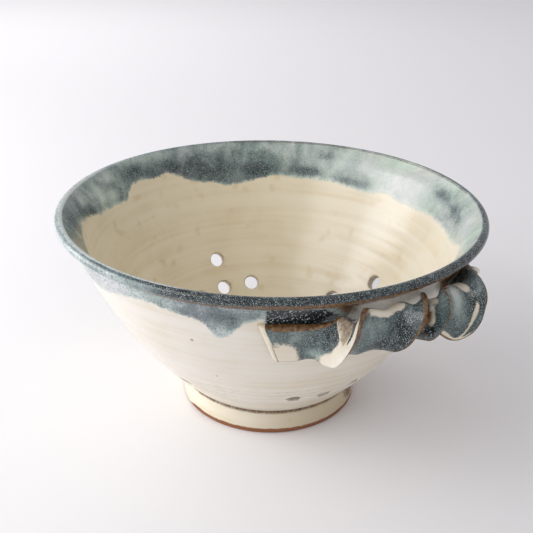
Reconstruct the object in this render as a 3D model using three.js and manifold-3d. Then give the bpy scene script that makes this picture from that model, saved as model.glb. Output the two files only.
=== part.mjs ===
// Stoneware colander: a thrown bowl with drain holes, a rolled rim, a turned foot ring and two
// handles, each a pulled strap of clay that makes four half turns along its length.
// Millimetres, +Z up. The origin is on the bowl's axis, on the surface that the foot stands on.
// The handles lie along +X and -X.
import * as THREE from 'three';
import { mergeVertices } from 'three/addons/utils/BufferGeometryUtils.js';
import Module from 'manifold-3d';

const { degToRad, lerp, smoothstep } = THREE.MathUtils;

// Rim: a roll of clay that overhangs the wall above a short neck
const rimRadius = 115;
const overallHeight = 117.8;
const beadRadius = 2.9;
const beadOverhang = 5;
const neckHeight = 1;
const beadStart = degToRad(-135);
const beadEnd = degToRad(90);
const shoulderHeight = 3.5;
const shoulderRound = 1.2;

// Wall: one curve from the foot to the neck, its lean measured from the vertical
const wallThickness = 5;
const leanAtFoot = degToRad(46);
const leanAtRim = degToRad(21);

// Foot ring and floor
const footRadius = 50.8;
const footTopRadius = 49.6;
const footHeight = 13.8;
const footSeatWidth = 9;
const footBaseWidth = 6.8;
const footEdgeRadius = 1.2;
const floorHeight = 18;
const floorThickness = 7;
const floorFlatRadius = 24;
const floorRoundHeight = 30;

// Drain holes, punched square to the wall: rows of three, two of them with one more hole above the
// middle one, and a ring of holes around one hole in the floor
const holeRadius = 4.75;
const punchLength = 24;
const upperRowHeight = 50.4;
const lowerRowHeight = 36.4;
const holeRows = [
  { at: degToRad(-6.7), pitch: degToRad(15), hasUpper: false },
  { at: degToRad(87.5), pitch: degToRad(20), hasUpper: true },
  { at: degToRad(176.5), pitch: degToRad(16.7), hasUpper: true },
  { at: degToRad(267.5), pitch: degToRad(20), hasUpper: false },
];
const floorRingRadius = 22;
const floorRingCount = 6;

// Handles: a strap with a thumb groove along one face, flat against the wall at both ends
const handleSpan = degToRad(64);
const strapWidth = 22;
const strapThickness = 4.6;
const thumbGroove = 2.5;
const grooveShare = 0.5;
const endFlat = degToRad(5);
const endRamp = degToRad(7);

// The strap's two edges, in percent. Each row is a place along the strap from its middle, in percent of
// half its span, then the edge's stand-off from the wall and its drop below the top of the rim, both in
// percent of the strap's width. Each edge comes round to the front twice, so there are four half turns.
const leadEdge = [
  [-100, 8, 168],
  [-81, 14, 166],
  [-69, 32, 168],
  [-59, 73, 158],
  [-57, 91, 133],
  [-53, 93, 81],
  [-44, 50, 36],
  [-38, 36, 35],
  [-19, 31, 47],
  [-3, 10, 72],
  [2, 30, 108],
  [11, 86, 129],
  [20, 93, 70],
  [23, 69, 45],
  [30, 36, 35],
  [36, 26, 40],
  [53, 5, 60],
  [70, 24, 122],
  [100, 8, 154],
];
const trailEdge = [
  [-100, 8, 81],
  [-53, 9, 70],
  [-48, 10, 74],
  [-45, 25, 117],
  [-42, 44, 158],
  [-38, 53, 154],
  [-33, 60, 140],
  [-22, 76, 131],
  [-13, 97, 122],
  [-7, 92, 67],
  [-3, 72, 40],
  [3, 41, 31],
  [9, 29, 35],
  [25, 11, 76],
  [34, 72, 147],
  [48, 125, 147],
  [57, 103, 72],
  [62, 74, 45],
  [69, 41, 38],
  [100, 8, 63],
];

// Clearance between a handle and the wall that it is luted to
const luteGap = 0.3;

// Facets
const turnSteps = 64;
const wallSteps = 8;
const roundSteps = 4;
const holeSteps = 16;
const strapSectionSteps = 16;
const strapTravel = 3.4;
const strapStride = degToRad(0.05);
const searchSteps = 40;

const neckRadius = rimRadius - beadOverhang;
const beadCentre = new THREE.Vector2(rimRadius - beadRadius, overallHeight - beadRadius);
const neckZ = beadCentre.y - beadRadius - neckHeight;

const wasm = await Module();
wasm.setup();

// A closed geometry as a solid that can be joined and cut
function toSolid(geometry) {
  const bare = geometry.index ? geometry.toNonIndexed() : geometry.clone();
  bare.deleteAttribute('normal');
  bare.deleteAttribute('uv');
  const merged = mergeVertices(bare, 1e-4);
  return new wasm.Manifold(new wasm.Mesh({
    numProp: 3,
    vertProperties: new Float32Array(merged.attributes.position.array),
    triVerts: new Uint32Array(merged.index.array),
  }));
}

// A solid back as a geometry with flat facets
function toGeometry(solid) {
  const mesh = solid.getMesh();
  const geometry = new THREE.BufferGeometry();
  geometry.setAttribute('position', new THREE.BufferAttribute(mesh.vertProperties, 3));
  geometry.setIndex(new THREE.BufferAttribute(mesh.triVerts, 1));
  geometry.computeVertexNormals();
  return geometry;
}

// A profile of radius and height turned about +Z
function revolve(profile) {
  const geometry = new THREE.LatheGeometry(profile, turnSteps);
  geometry.rotateX(Math.PI / 2);
  return geometry;
}

// The point where two lines cross, each given by a point and a lean from the vertical
function crossing(start, startLean, end, endLean) {
  const across = end.x - start.x;
  const up = end.y - start.y;
  const spread = Math.sin(startLean - endLean);
  const along = (up * -Math.sin(endLean) + across * Math.cos(endLean)) / spread;
  return new THREE.Vector2(start.x + along * Math.sin(startLean), start.y + along * Math.cos(startLean));
}

const wallFoot = new THREE.Vector2(footTopRadius, footHeight);
const wallTop = new THREE.Vector2(neckRadius, neckZ);
const wallCurve = new THREE.QuadraticBezierCurve(
  wallFoot, crossing(wallFoot, leanAtFoot, wallTop, leanAtRim), wallTop);

// The wall's outer point a share of the way up its curve, moved outwards by a distance
function wallPoint(share, outwards) {
  const point = wallCurve.getPoint(share);
  const tangent = wallCurve.getTangent(share);
  return new THREE.Vector2(point.x + tangent.y * outwards, point.y - tangent.x * outwards);
}

// The share of the way up the wall's curve at which its moved point reaches a height
function wallShare(height, outwards) {
  let low = 0;
  let high = 1;
  for (let step = 0; step < searchSteps; step += 1) {
    const middle = (low + high) / 2;
    if (wallPoint(middle, outwards).y < height) {
      low = middle;
    } else {
      high = middle;
    }
  }
  return (low + high) / 2;
}

// Points along the wall between two shares of its curve, moved outwards by a distance
function wallPoints(from, to, outwards) {
  return Array.from({ length: wallSteps + 1 }, (_, step) =>
    wallPoint(lerp(from, to, step / wallSteps), outwards));
}

// A cutter for one drain hole, square to the wall at a height on the wall's inside
function wallHole(angle, height) {
  const share = wallShare(height, -wallThickness);
  const middle = wallPoint(share, -wallThickness / 2);
  const tangent = wallCurve.getTangent(share);
  const cutter = new THREE.CylinderGeometry(holeRadius, holeRadius, punchLength, holeSteps);
  cutter.rotateZ(Math.atan2(-tangent.x, tangent.y) - Math.PI / 2);
  cutter.rotateX(Math.PI / 2);
  return placeOnTurn(cutter, middle, angle);
}

// A geometry built in the XZ plane, moved to a radius and height and turned about +Z
function placeOnTurn(geometry, point, angle) {
  geometry.translate(point.x, 0, point.y);
  geometry.rotateZ(angle);
  return geometry;
}

// A cutter for one upright hole through the floor
function floorHole(radius, angle) {
  const cutter = new THREE.CylinderGeometry(holeRadius, holeRadius, punchLength, holeSteps);
  cutter.rotateX(Math.PI / 2);
  return placeOnTurn(cutter, new THREE.Vector2(radius, floorHeight - floorThickness / 2), angle);
}

// Every drain hole's cutter
function drainHoles() {
  const cutters = [floorHole(0, 0)];
  for (let spot = 0; spot < floorRingCount; spot += 1) {
    cutters.push(floorHole(floorRingRadius, (spot / floorRingCount) * Math.PI * 2));
  }
  for (const { at, pitch, hasUpper } of holeRows) {
    if (hasUpper) {
      cutters.push(wallHole(at, upperRowHeight));
    }
    for (const place of [-1, 0, 1]) {
      cutters.push(wallHole(at + place * pitch, lowerRowHeight));
    }
  }
  return cutters;
}

// The thrown bowl: outer wall, flat seat for the rim, inner wall, dished floor and domed underside
function bowlGeometry() {
  const floorShare = wallShare(floorRoundHeight, -wallThickness);
  const floorStart = wallPoint(floorShare, -wallThickness);
  const floorLean = wallCurve.getTangent(floorShare).angle();
  const floorCorner = new THREE.Vector2(
    floorStart.x - (floorStart.y - floorHeight) / Math.tan(floorLean), floorHeight);
  const floorCurve = new THREE.QuadraticBezierCurve(
    floorStart, floorCorner, new THREE.Vector2(floorFlatRadius, floorHeight));
  const seatInside = new THREE.Vector2(footTopRadius - footSeatWidth, footHeight);
  const underCentre = new THREE.Vector2(0, floorHeight - floorThickness);
  const underCurve = new THREE.QuadraticBezierCurve(
    underCentre, new THREE.Vector2(seatInside.x / 2, underCentre.y), seatInside);
  const innerTopShare = wallShare(neckZ, -wallThickness);
  const profile = [
    ...underCurve.getPoints(roundSteps),
    ...wallPoints(0, 1, 0),
    ...wallPoints(floorShare, innerTopShare, -wallThickness).reverse(),
    ...floorCurve.getPoints(roundSteps).slice(1),
    new THREE.Vector2(0, floorHeight),
  ];
  let bowl = toSolid(revolve(profile));
  for (const cutter of drainHoles()) {
    bowl = bowl.subtract(toSolid(cutter));
  }
  return toGeometry(bowl);
}

// The rolled rim: a neck on the wall's flat top, a round roll outside and a soft shoulder inside
function rimGeometry() {
  const inside = wallPoint(wallShare(neckZ, -wallThickness), -wallThickness);
  const shoulder = new THREE.Vector2(
    inside.x + shoulderHeight * Math.tan(leanAtRim), neckZ + shoulderHeight);
  const path = new THREE.Path();
  path.moveTo(neckRadius, neckZ);
  path.absarc(beadCentre.x, beadCentre.y, beadRadius, beadStart, beadEnd, false);
  path.quadraticCurveTo(shoulder.x + shoulderRound, overallHeight, shoulder.x, shoulder.y);
  path.lineTo(inside.x, inside.y);
  path.closePath();
  return revolve(path.getPoints(roundSteps));
}

// The foot: slightly spread at its base, with softened edges and an undercut inside
function footGeometry() {
  const insideBase = footRadius - footBaseWidth;
  const insideTop = footTopRadius - footSeatWidth;
  const path = new THREE.Path();
  path.moveTo(insideTop, footHeight);
  path.lineTo(insideBase, footEdgeRadius);
  path.quadraticCurveTo(insideBase, 0, insideBase + footEdgeRadius, 0);
  path.lineTo(footRadius - footEdgeRadius, 0);
  path.quadraticCurveTo(footRadius, 0, footRadius, footEdgeRadius);
  path.lineTo(footTopRadius, footHeight);
  path.closePath();
  return revolve(path.getPoints(roundSteps));
}

// One edge of the strap as a smooth curve of stand-off and drop over the angle about the axis
function edgeCurve(rows) {
  const angles = rows.map(([place]) => (place / 100) * handleSpan / 2);
  const values = rows.flatMap(([, ...percents]) => percents.map((percent) => (percent / 100) * strapWidth));
  return new THREE.CubicInterpolant(angles, values, 2);
}

const leadCurve = edgeCurve(leadEdge);
const trailCurve = edgeCurve(trailEdge);

// An edge's radius and height at an angle
function edgePoint(curve, angle) {
  const [standOff, drop] = curve.evaluate(angle);
  const height = overallHeight - drop;
  return new THREE.Vector2(wallPoint(wallShare(height, 0), 0).x + standOff, height);
}

// The strap at an angle: its two edges and how deep its thumb groove is there
function strapStation(angle) {
  const half = handleSpan / 2;
  const rise = (distance) => smoothstep(distance, endFlat, endFlat + endRamp);
  return {
    angle,
    lead: edgePoint(leadCurve, angle),
    trail: edgePoint(trailCurve, angle),
    groove: thumbGroove * rise(half + angle) * rise(half - angle),
  };
}

// Stations close enough that neither edge of the strap travels far between two of them
function strapStations() {
  const half = handleSpan / 2;
  const stations = [strapStation(-half)];
  let before = stations[0];
  let travel = 0;
  for (let angle = -half + strapStride; angle < half; angle += strapStride) {
    const station = strapStation(angle);
    const step = Math.max(station.lead.distanceTo(before.lead), station.trail.distanceTo(before.trail));
    travel += Math.hypot(step, strapStride * rimRadius);
    if (travel >= strapTravel) {
      stations.push(station);
      travel = 0;
    }
    before = station;
  }
  stations.push(strapStation(half));
  return stations;
}

// The strap's closed section at a station: a flat oval with a thumb groove along one face
function strapSection({ angle, lead, trail, groove }) {
  const middle = lead.clone().lerp(trail, 0.5);
  const along = lead.clone().sub(middle);
  const face = new THREE.Vector2(-along.y, along.x).normalize();
  return Array.from({ length: strapSectionSteps }, (_, step) => {
    const turn = (step / strapSectionSteps) * Math.PI * 2;
    const across = Math.sign(Math.cos(turn)) * Math.sqrt(Math.abs(Math.cos(turn)));
    const through = Math.sign(Math.sin(turn)) * Math.sqrt(Math.abs(Math.sin(turn)));
    const depth = through * strapThickness / 2 - groove * (grooveShare - across * across);
    const point = middle.clone().addScaledVector(along, across).addScaledVector(face, depth);
    return new THREE.Vector3(point.x * Math.cos(angle), point.x * Math.sin(angle), point.y);
  });
}

// The strap lofted through its sections, with a flat cut at each end
function strapGeometry() {
  const rings = strapStations().map(strapSection);
  const positions = rings.flat().flatMap((point) => point.toArray());
  const index = [];
  const count = strapSectionSteps;
  for (let ring = 0; ring + 1 < rings.length; ring += 1) {
    for (let step = 0; step < count; step += 1) {
      const next = (step + 1) % count;
      const [a, b] = [ring * count + step, ring * count + next];
      const [c, d] = [a + count, b + count];
      index.push(a, c, b, b, c, d);
    }
  }
  const last = (rings.length - 1) * count;
  for (let step = 1; step + 1 < count; step += 1) {
    index.push(0, step, step + 1);
    index.push(last, last + step + 1, last + step);
  }
  const geometry = new THREE.BufferGeometry();
  geometry.setAttribute('position', new THREE.Float32BufferAttribute(positions, 3));
  geometry.setIndex(index);
  return geometry;
}

// Everything inside the bowl's outer face and the roll, grown by the clearance that handles keep
function handleTrim() {
  const path = new THREE.Path();
  path.absarc(beadCentre.x, beadCentre.y, beadRadius + luteGap, beadStart, beadEnd, false);
  const profile = [
    new THREE.Vector2(0, footHeight),
    ...wallPoints(0, 1, luteGap),
    ...path.getPoints(roundSteps * 2),
    new THREE.Vector2(0, overallHeight + luteGap),
  ];
  return toSolid(revolve(profile));
}

function material(colour, roughness) {
  return new THREE.MeshStandardMaterial({ color: colour, roughness, metalness: 0 });
}

function piece(name, geometry, finish) {
  const mesh = new THREE.Mesh(geometry, finish);
  mesh.name = name;
  return mesh;
}

const handle = toGeometry(toSolid(strapGeometry()).subtract(handleTrim()));
const handleRear = piece('handle_rear', handle.clone(), material('#66767c', 0.35));
handleRear.rotation.z = Math.PI;

const colander = new THREE.Group();
colander.add(
  piece('bowl', bowlGeometry(), material('#d8cdb6', 0.4)),
  piece('rim_bead', rimGeometry(), material('#3c5058', 0.3)),
  piece('foot_ring', footGeometry(), material('#ddd3bf', 0.5)),
  piece('handle_front', handle, material('#66767c', 0.35)),
  handleRear,
);

export default colander;
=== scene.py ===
"""Glazed stoneware colander with twisted strap handles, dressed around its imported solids."""
import logging
import math
from dataclasses import dataclass, field
from enum import Enum
from typing import Any, Sequence

import bmesh
import bpy
import numpy as np
from mathutils import Matrix, Vector


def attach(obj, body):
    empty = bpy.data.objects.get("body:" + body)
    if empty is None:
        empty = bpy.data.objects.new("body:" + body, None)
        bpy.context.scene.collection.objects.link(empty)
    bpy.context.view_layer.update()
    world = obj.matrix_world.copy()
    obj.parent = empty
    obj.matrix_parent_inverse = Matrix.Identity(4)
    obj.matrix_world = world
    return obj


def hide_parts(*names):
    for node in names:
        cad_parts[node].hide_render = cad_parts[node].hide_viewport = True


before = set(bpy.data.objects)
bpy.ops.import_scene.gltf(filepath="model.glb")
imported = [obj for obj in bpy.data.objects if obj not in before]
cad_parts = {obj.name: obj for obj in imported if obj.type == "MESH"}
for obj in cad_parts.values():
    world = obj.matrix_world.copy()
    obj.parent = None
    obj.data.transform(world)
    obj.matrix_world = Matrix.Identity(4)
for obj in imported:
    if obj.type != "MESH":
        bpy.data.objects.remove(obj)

LOG = logging.getLogger("colander")
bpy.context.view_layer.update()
MM = 0.001
VIEW_TURN = math.radians(58.0)
Array = np.ndarray
Socket = bpy.types.NodeSocket
Point = tuple[float, float]
Track = Sequence[Point]
Rail = Sequence[tuple[float, float, float]]
Profile = list[Point]


class Coat(Enum):
    """The painted layers that a glazed vertex carries, each a float attribute of the mesh."""

    DIP = "dip"
    THIN = "thin"
    RUST = "rust"
    # Near-black layer: pooled glaze, and painted shade at the bottom of the strap's groove.
    POOL_AND_SHADE = "pool"
    # Cream layer: cream glaze kept free of blue, and a painted highlight on the strap's trumpet.
    CREAM_AND_HIGHLIGHT = "cream"
    CLAY = "clay"
    # Mixes in the yellower cream: the inner face's own glaze colour, and painted shade that darkens and tints the
    # foot's right side and the bowl's shaded walls.
    INSIDE = "inside"


class Side(Enum):
    """The two faces of the thrown wall."""

    OUTER = "outer"
    INNER = "inner"


@dataclass(frozen=True)
class Patch:
    """A soft patch: its middle and reach in degrees along a piece, and in height or share across it."""

    along: float
    reach: float
    across: float
    spread: float
    weight: float = 1.0
    face: int = 0
    lean: float = 0.0

    def near(self, along: Array, across: Array, face: Any = 0.0) -> Array:
        """Weigh how near places lie to the patch's middle.

        Args:
            along: Degrees along the piece.
            across: Height or share across it.
            face: The side of the piece, above zero or below.

        Returns:
            The patch's weight at each place.
        """
        shift = (along - self.along + 180.0) % 360.0 - 180.0
        aside = (across - self.across - self.lean * shift) / self.spread
        return self.weight * np.exp(-(shift / self.reach) ** 2 - aside ** 2) * (np.asarray(face) * self.face >= 0.0)


def patches(*rows: tuple[float, ...]) -> tuple[Patch, ...]:
    """Make a patch of each row of a patch's fields."""
    return tuple(Patch(*row) for row in rows)


def linear(code: str) -> tuple[float, float, float, float]:
    """Turn a hex colour into linear RGBA.

    Args:
        code: The colour as six hex digits.

    Returns:
        Red, green, blue and alpha, linear.
    """
    values = [int(code[place:place + 2], 16) / 255 for place in (0, 2, 4)]
    red, green, blue = (
        value / 12.92 if value <= 0.04045 else ((value + 0.055) / 1.055) ** 2.4 for value in values)
    return red, green, blue, 1.0


def ease(value: Any, low: float, high: float) -> Any:
    """Rise smoothly from 0 where a number, or an array of them, is at low to 1 where it is at high."""
    share = np.clip((value - low) / (high - low), 0.0, 1.0)
    return share * share * (3.0 - 2.0 * share)


def glide(stops: Array, levels: Array, at: Array) -> Array:
    """Follow a smooth curve through stops without overshooting them.

    Args:
        stops: Rising places of the stops.
        levels: The curve's value at each stop.
        at: Places to read the curve at.

    Returns:
        The curve's values.
    """
    gaps = np.diff(stops)
    slopes = np.diff(levels) / gaps
    before, after = slopes[:-1], slopes[1:]
    total = np.where(before + after == 0.0, 1.0, before + after)
    inner = np.where(before * after > 0.0, 2.0 * before * after / total, 0.0)
    lean = np.concatenate([slopes[:1], inner, slopes[-1:]])
    index = np.clip(np.searchsorted(stops, at) - 1, 0, len(gaps) - 1)
    share = (at - stops[index]) / gaps[index]
    rest = 1.0 - share
    return (
        levels[index] * (1.0 + 2.0 * share) * rest ** 2
        + lean[index] * gaps[index] * share * rest ** 2
        + levels[index + 1] * share ** 2 * (3.0 - 2.0 * share)
        - lean[index + 1] * gaps[index] * share ** 2 * rest)


def around(track: Track, angles: Array) -> Array:
    """Read a closed track of values around the bowl.

    Args:
        track: Pairs of degrees about the axis and a value.
        angles: Degrees to read at.

    Returns:
        The values, going smoothly round the full circle.
    """
    stops, levels = (np.array(column) for column in zip(*sorted(track)))
    stops = np.concatenate([stops[-2:] - 360.0, stops, stops[:2] + 360.0])
    levels = np.concatenate([levels[-2:], levels, levels[:2]])
    start = stops[1]
    return glide(stops, levels, start + (angles - start) % 360.0)


def from_view(right: float, away: float, up: float) -> Vector:
    """Turn metres right of the axis, beyond it and above the floor, as the camera sees them, into the part's frame."""
    return Matrix.Rotation(VIEW_TURN, 3, "Z") @ Vector((right, away, up))


def polar(spots: Array) -> tuple[Array, Array, Array]:
    """Split places into radius, degrees about the axis and height."""
    return np.hypot(spots[:, 0], spots[:, 1]), np.degrees(np.arctan2(spots[:, 1], spots[:, 0])), spots[:, 2]


def arc(centre: Point, radius: float, start: float, end: float, steps: int) -> Profile:
    """Lay points about a centre, along an arc from one angle to another in degrees, in so many steps."""
    return [(centre[0] + radius * math.cos(math.radians(angle)), centre[1] + radius * math.sin(math.radians(angle)))
            for angle in np.linspace(start, end, steps + 1)]


def bow(start: Point, pull: Point, end: Point, steps: int) -> Profile:
    """Lay points from start to end, in so many steps, along a curve that is pulled towards a corner."""
    return [tuple((1 - t) ** 2 * a + 2 * t * (1 - t) * b + t * t * c for a, b, c in zip(start, pull, end))
            for t in np.linspace(0.0, 1.0, steps + 1)]


def meshed(shape: bmesh.types.BMesh, name: str) -> bpy.types.Mesh:
    """Turn a finished shape into a mesh.

    Args:
        shape: The shape, which is freed.
        name: The mesh's name.

    Returns:
        The mesh.
    """
    mesh = bpy.data.meshes.new(name)
    shape.to_mesh(mesh)
    shape.free()
    return mesh


def shown(name: str, data: Any) -> bpy.types.Object:
    """Add an object to the scene.

    Args:
        name: The object's name.
        data: Its mesh, light or camera.

    Returns:
        The object.
    """
    thing = bpy.data.objects.new(name, data)
    bpy.context.scene.collection.objects.link(thing)
    return thing


@dataclass(frozen=True)
class Wall:
    """The thrown wall's curve, in millimetres, shared by the pieces that meet it."""

    foot_radius: float = 49.6
    foot_height: float = 13.8
    top_radius: float = 110.0
    top_height: float = 111.0
    thickness: float = 5.0
    foot_lean: float = math.radians(46.0)
    top_lean: float = math.radians(21.0)
    samples: int = 400
    flare_start: Point = (103.5, 107.0)
    flare_pull: Point = (104.98, 110.72)
    flare_end: Point = (110.73, 116.47)
    flare_steps: int = 40

    def points(self, outwards: float) -> Array:
        """Sample the wall's curve, moved outwards.

        Args:
            outwards: Millimetres to move the outer face by, along its normal.

        Returns:
            Rows of radius and height, from the foot to the top.
        """
        start = np.array([self.foot_radius, self.foot_height])
        end = np.array([self.top_radius, self.top_height])
        leave = np.array([math.sin(self.foot_lean), math.cos(self.foot_lean)])
        arrive = np.array([math.sin(self.top_lean), math.cos(self.top_lean)])
        along = np.linalg.solve(np.column_stack([leave, -arrive]), end - start)[0]
        corner = start + along * leave
        share = np.linspace(0.0, 1.0, self.samples)[:, None]
        curve = (1 - share) ** 2 * start + 2 * share * (1 - share) * corner + share ** 2 * end
        tangent = (1 - share) * (corner - start) + share * (end - corner)
        tangent /= np.linalg.norm(tangent, axis=1)[:, None]
        return curve + outwards * np.column_stack([tangent[:, 1], -tangent[:, 0]])

    def radius(self, heights: Any, outwards: float = 0.0) -> Any:
        """Read the wall's radius at heights, with its outer face moved outwards, in millimetres."""
        curve = self.points(outwards)
        return np.interp(heights, curve[:, 1], curve[:, 0])

    def flare(self) -> Array:
        """Sample radius and height of the inner face where it opens out, from the straight wall to the roll."""
        return np.array(bow(self.flare_start, self.flare_pull, self.flare_end, self.flare_steps))

    def flare_radius(self, heights: Any) -> Any:
        """Read the inner flare's radius at heights."""
        flare = self.flare()
        return np.interp(heights, flare[:, 1], flare[:, 0])


WALL = Wall()


@dataclass(frozen=True)
class GlazeMap:
    """Where the blue dip ends and how thick it lies, by degrees about the axis."""

    inner_edge: Track = (
        (244, 104.5), (235, 103), (226, 98.7), (221, 98.5), (214.5, 97.4), (210, 97.6), (207.6, 101.3), (204.8, 104.5),
        (201, 104.9), (196, 103.8), (189, 104.4), (185, 102.3), (182, 98.6), (179, 97.1), (173, 94.9), (169, 93.3),
        (164.7, 91.7), (160, 92.7), (154.4, 94.8), (147.6, 96.7), (141.4, 96.3), (133, 96.1), (124.4, 96.4),
        (119, 95.4), (114, 94.4), (108.6, 94), (101, 97.2), (96, 95.3), (91.4, 95), (83.7, 95.2), (74.6, 96.8),
        (63.4, 96.3), (56.5, 96), (41.3, 102.5), (20, 99), (-20, 97), (-60, 100), (-100, 97))
    inner_thin: Track = (
        (240, 0.65), (225, 0.67), (213, 0.63), (203, 0.49), (190, 0.51), (178, 0.51), (170, 0.49), (163, 0.55),
        (150, 0.51), (142, 0.63), (132, 0.77), (118, 0.81), (104, 0.91), (92, 0.92), (80, 0.83), (68, 0.74),
        (52, 0.88), (10, 0.68), (-60, 0.48), (-100, 0.58))
    outer_edge: Track = (
        (-122, 88), (-100, 92), (-84, 94), (-75, 98.6), (-70, 100.5), (-66.6, 101.6), (-62.8, 102.4), (-59.6, 102),
        (-57.3, 101), (-54.4, 100), (-51.3, 99.3), (-48.9, 97.9), (-47.2, 95), (-46.2, 90), (-44.4, 88), (-42.3, 90.8),
        (-40.7, 93.5), (-39.5, 97), (-36.5, 100.5), (-34.6, 102.3), (-33.4, 103), (-32, 98), (-14, 98), (-12, 112),
        (26, 112), (33, 100), (40, 97), (60, 100), (90, 97), (120, 99), (150, 98), (166, 98), (168, 112), (206, 112),
        (213, 98))
    outer_thin: Track = (
        (-122, 0.95), (-95, 0.9), (-75, 0.9), (-62, 0.77), (-50, 0.64), (-40, 0.6), (-33, 0.62), (0, 0.76),
        (33, 0.56), (60, 0.36), (100, 0.46), (150, 0.61), (190, 0.66), (215, 0.76))
    inner_dabs: tuple[Patch, ...] = patches(
        (236, 5, 108, 6, -0.35), (247, 4, 112, 5, -0.4), (231, 3, 103.5, 3, -0.3), (233, 2.2, 111, 4, 0.3),
        (222, 2, 108, 6, 0.32), (214, 3, 113, 3, 0.3), (216, 2.5, 104, 3, 0.28), (204, 4, 111, 3.5, -0.25),
        (186, 10, 107, 4, -0.15), (170, 12, 101, 5, -0.18), (152, 6, 101, 4, -0.2), (195, 14, 116, 2.6, 0.16),
        (170, 16, 115, 3.2, 0.22), (148, 7, 114, 3, 0.2), (135, 6, 101, 3, -0.4), (116, 8, 98.5, 2.2, -0.28),
        (128.6, 2, 110.5, 2.2, -0.25), (77, 4, 110, 3, -0.4), (62, 7, 107, 4, -0.3, 0, 0.15), (68, 2.5, 105.5, 2, 0.2),
        (-30, 20, 104, 5, -0.25), (10, 12, 108, 4, -0.2))
    outer_dabs: tuple[Patch, ...] = patches(
        (-33.0, 0.9, 101, 5, 0.6), (-44.4, 4, 92, 4, 0.3), (-46, 12, 103, 3, -0.1), (-70, 8, 106, 2.5, 0.12),
        (-60, 6, 103, 2, -0.14))

    def read(self, side: Side, angles: Array, heights: Array) -> tuple[Array, Array]:
        """Read the blue at places on the wall.

        Args:
            side: The wall's face.
            angles: Degrees about the axis.
            heights: Heights in millimetres.

        Returns:
            Millimetres above the dip's lower edge, and shares from 0, thick and dark, to 1, thin and pale.
        """
        edge, thin, dabs = (
            (self.inner_edge, self.inner_thin, self.inner_dabs) if side is Side.INNER
            else (self.outer_edge, self.outer_thin, self.outer_dabs))
        spread = around(thin, angles) + sum(dab.near(angles, heights) for dab in dabs)
        return heights - around(edge, angles), spread


MAP = GlazeMap()


class NodeSheet:
    """A material's node tree with short calls for the nodes that glazes need."""

    def __init__(self, name: str) -> None:
        """Start an empty material.

        Args:
            name: The material's name.
        """
        self.material = bpy.data.materials.new(name)
        self.material.use_nodes = True
        self.tree = self.material.node_tree
        self.tree.nodes.clear()
        self.place = self.add("ShaderNodeTexCoord").outputs["Object"]

    def add(self, kind: str, sockets: dict[Any, Any] | None = None, **settings: Any) -> bpy.types.Node:
        """Add a node, set it up and wire its sockets.

        Args:
            kind: The node's type.
            sockets: Values or other nodes' outputs for its inputs, by name or place.
            **settings: The node's own properties.

        Returns:
            The new node.
        """
        node = self.tree.nodes.new(kind)
        for key, value in settings.items():
            setattr(node, key, value)
        for key, value in (sockets or {}).items():
            if isinstance(value, Socket):
                self.tree.links.new(value, node.inputs[key])
            else:
                node.inputs[key].default_value = value
        return node

    def coat(self, layer: Coat) -> Socket:
        """Read one painted layer."""
        return self.add("ShaderNodeAttribute", attribute_name=layer.value).outputs["Fac"]

    def stretch(self, scale: tuple[float, float, float]) -> Socket:
        """Stretch the object coordinates by a factor on each axis."""
        return self.add("ShaderNodeMapping", {"Vector": self.place, "Scale": scale}).outputs["Vector"]

    def noise(self, scale: float, detail: float = 2.0, place: Socket | None = None,
              bend: float = 0.0) -> Socket:
        """Add noise around one half, by features per metre, octaves, other coordinates and how far it warps itself."""
        sockets = {"Vector": place or self.place, "Scale": scale, "Detail": detail, "Distortion": bend}
        return self.add("ShaderNodeTexNoise", sockets).outputs["Fac"]

    def cells(self, scale: float) -> Socket:
        """Add scattered spots, as the distance to the nearest of their centres."""
        return self.add("ShaderNodeTexVoronoi", {"Vector": self.place, "Scale": scale}).outputs["Distance"]

    def away(self, place: Vector) -> Socket:
        """Measure the distance to a place, in metres."""
        node = self.add("ShaderNodeVectorMath", {0: self.place, 1: place}, operation="DISTANCE")
        return node.outputs["Value"]

    def math(self, operation: str, first: Any, second: Any = 0.0) -> Socket:
        """Join two values by an operation."""
        return self.add("ShaderNodeMath", {0: first, 1: second}, operation=operation).outputs[0]

    def times(self, first: Any, second: Any) -> Socket:
        """Multiply two values."""
        return self.math("MULTIPLY", first, second)

    def plus(self, base: Any, *weighted: tuple[Any, float]) -> Socket:
        """Add values that swing around one half, each with a weight, to a base value.

        Args:
            base: The value to add to.
            *weighted: Pairs of a noise value and the span that it moves the base by.

        Returns:
            The sum.
        """
        total = base
        for value, weight in weighted:
            swing = self.add("ShaderNodeMath", {0: value, 1: weight, 2: -0.5 * weight}, operation="MULTIPLY_ADD")
            total = self.math("ADD", total, swing.outputs[0])
        return total

    def span(self, value: Any, low: float, high: float, least: float = 0.0,
             most: float = 1.0) -> Socket:
        """Ease a value from one range into another, held at its ends."""
        sockets = {"Value": value, "From Min": low, "From Max": high, "To Min": least, "To Max": most}
        return self.add("ShaderNodeMapRange", sockets, interpolation_type="SMOOTHSTEP").outputs["Result"]

    def mix(self, share: Any, first: Any, second: Any, blend: str = "MIX") -> Socket:
        """Blend two colours."""
        node = self.add("ShaderNodeMix", {0: share, 6: first, 7: second}, data_type="RGBA", blend_type=blend)
        return node.outputs[2]

    def ramp(self, value: Any, stops: Sequence[tuple[float, str]]) -> Socket:
        """Colour a value by stops.

        Args:
            value: The value to colour.
            stops: Pairs of a place from 0 to 1 and a hex colour.

        Returns:
            The colour.
        """
        node = self.add("ShaderNodeValToRGB", {0: value})
        band = node.color_ramp
        while len(band.elements) < len(stops):
            band.elements.new(1.0)
        for element, (place, code) in zip(band.elements, stops):
            element.position = place
            element.color = linear(code)
        return node.outputs["Color"]


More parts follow.
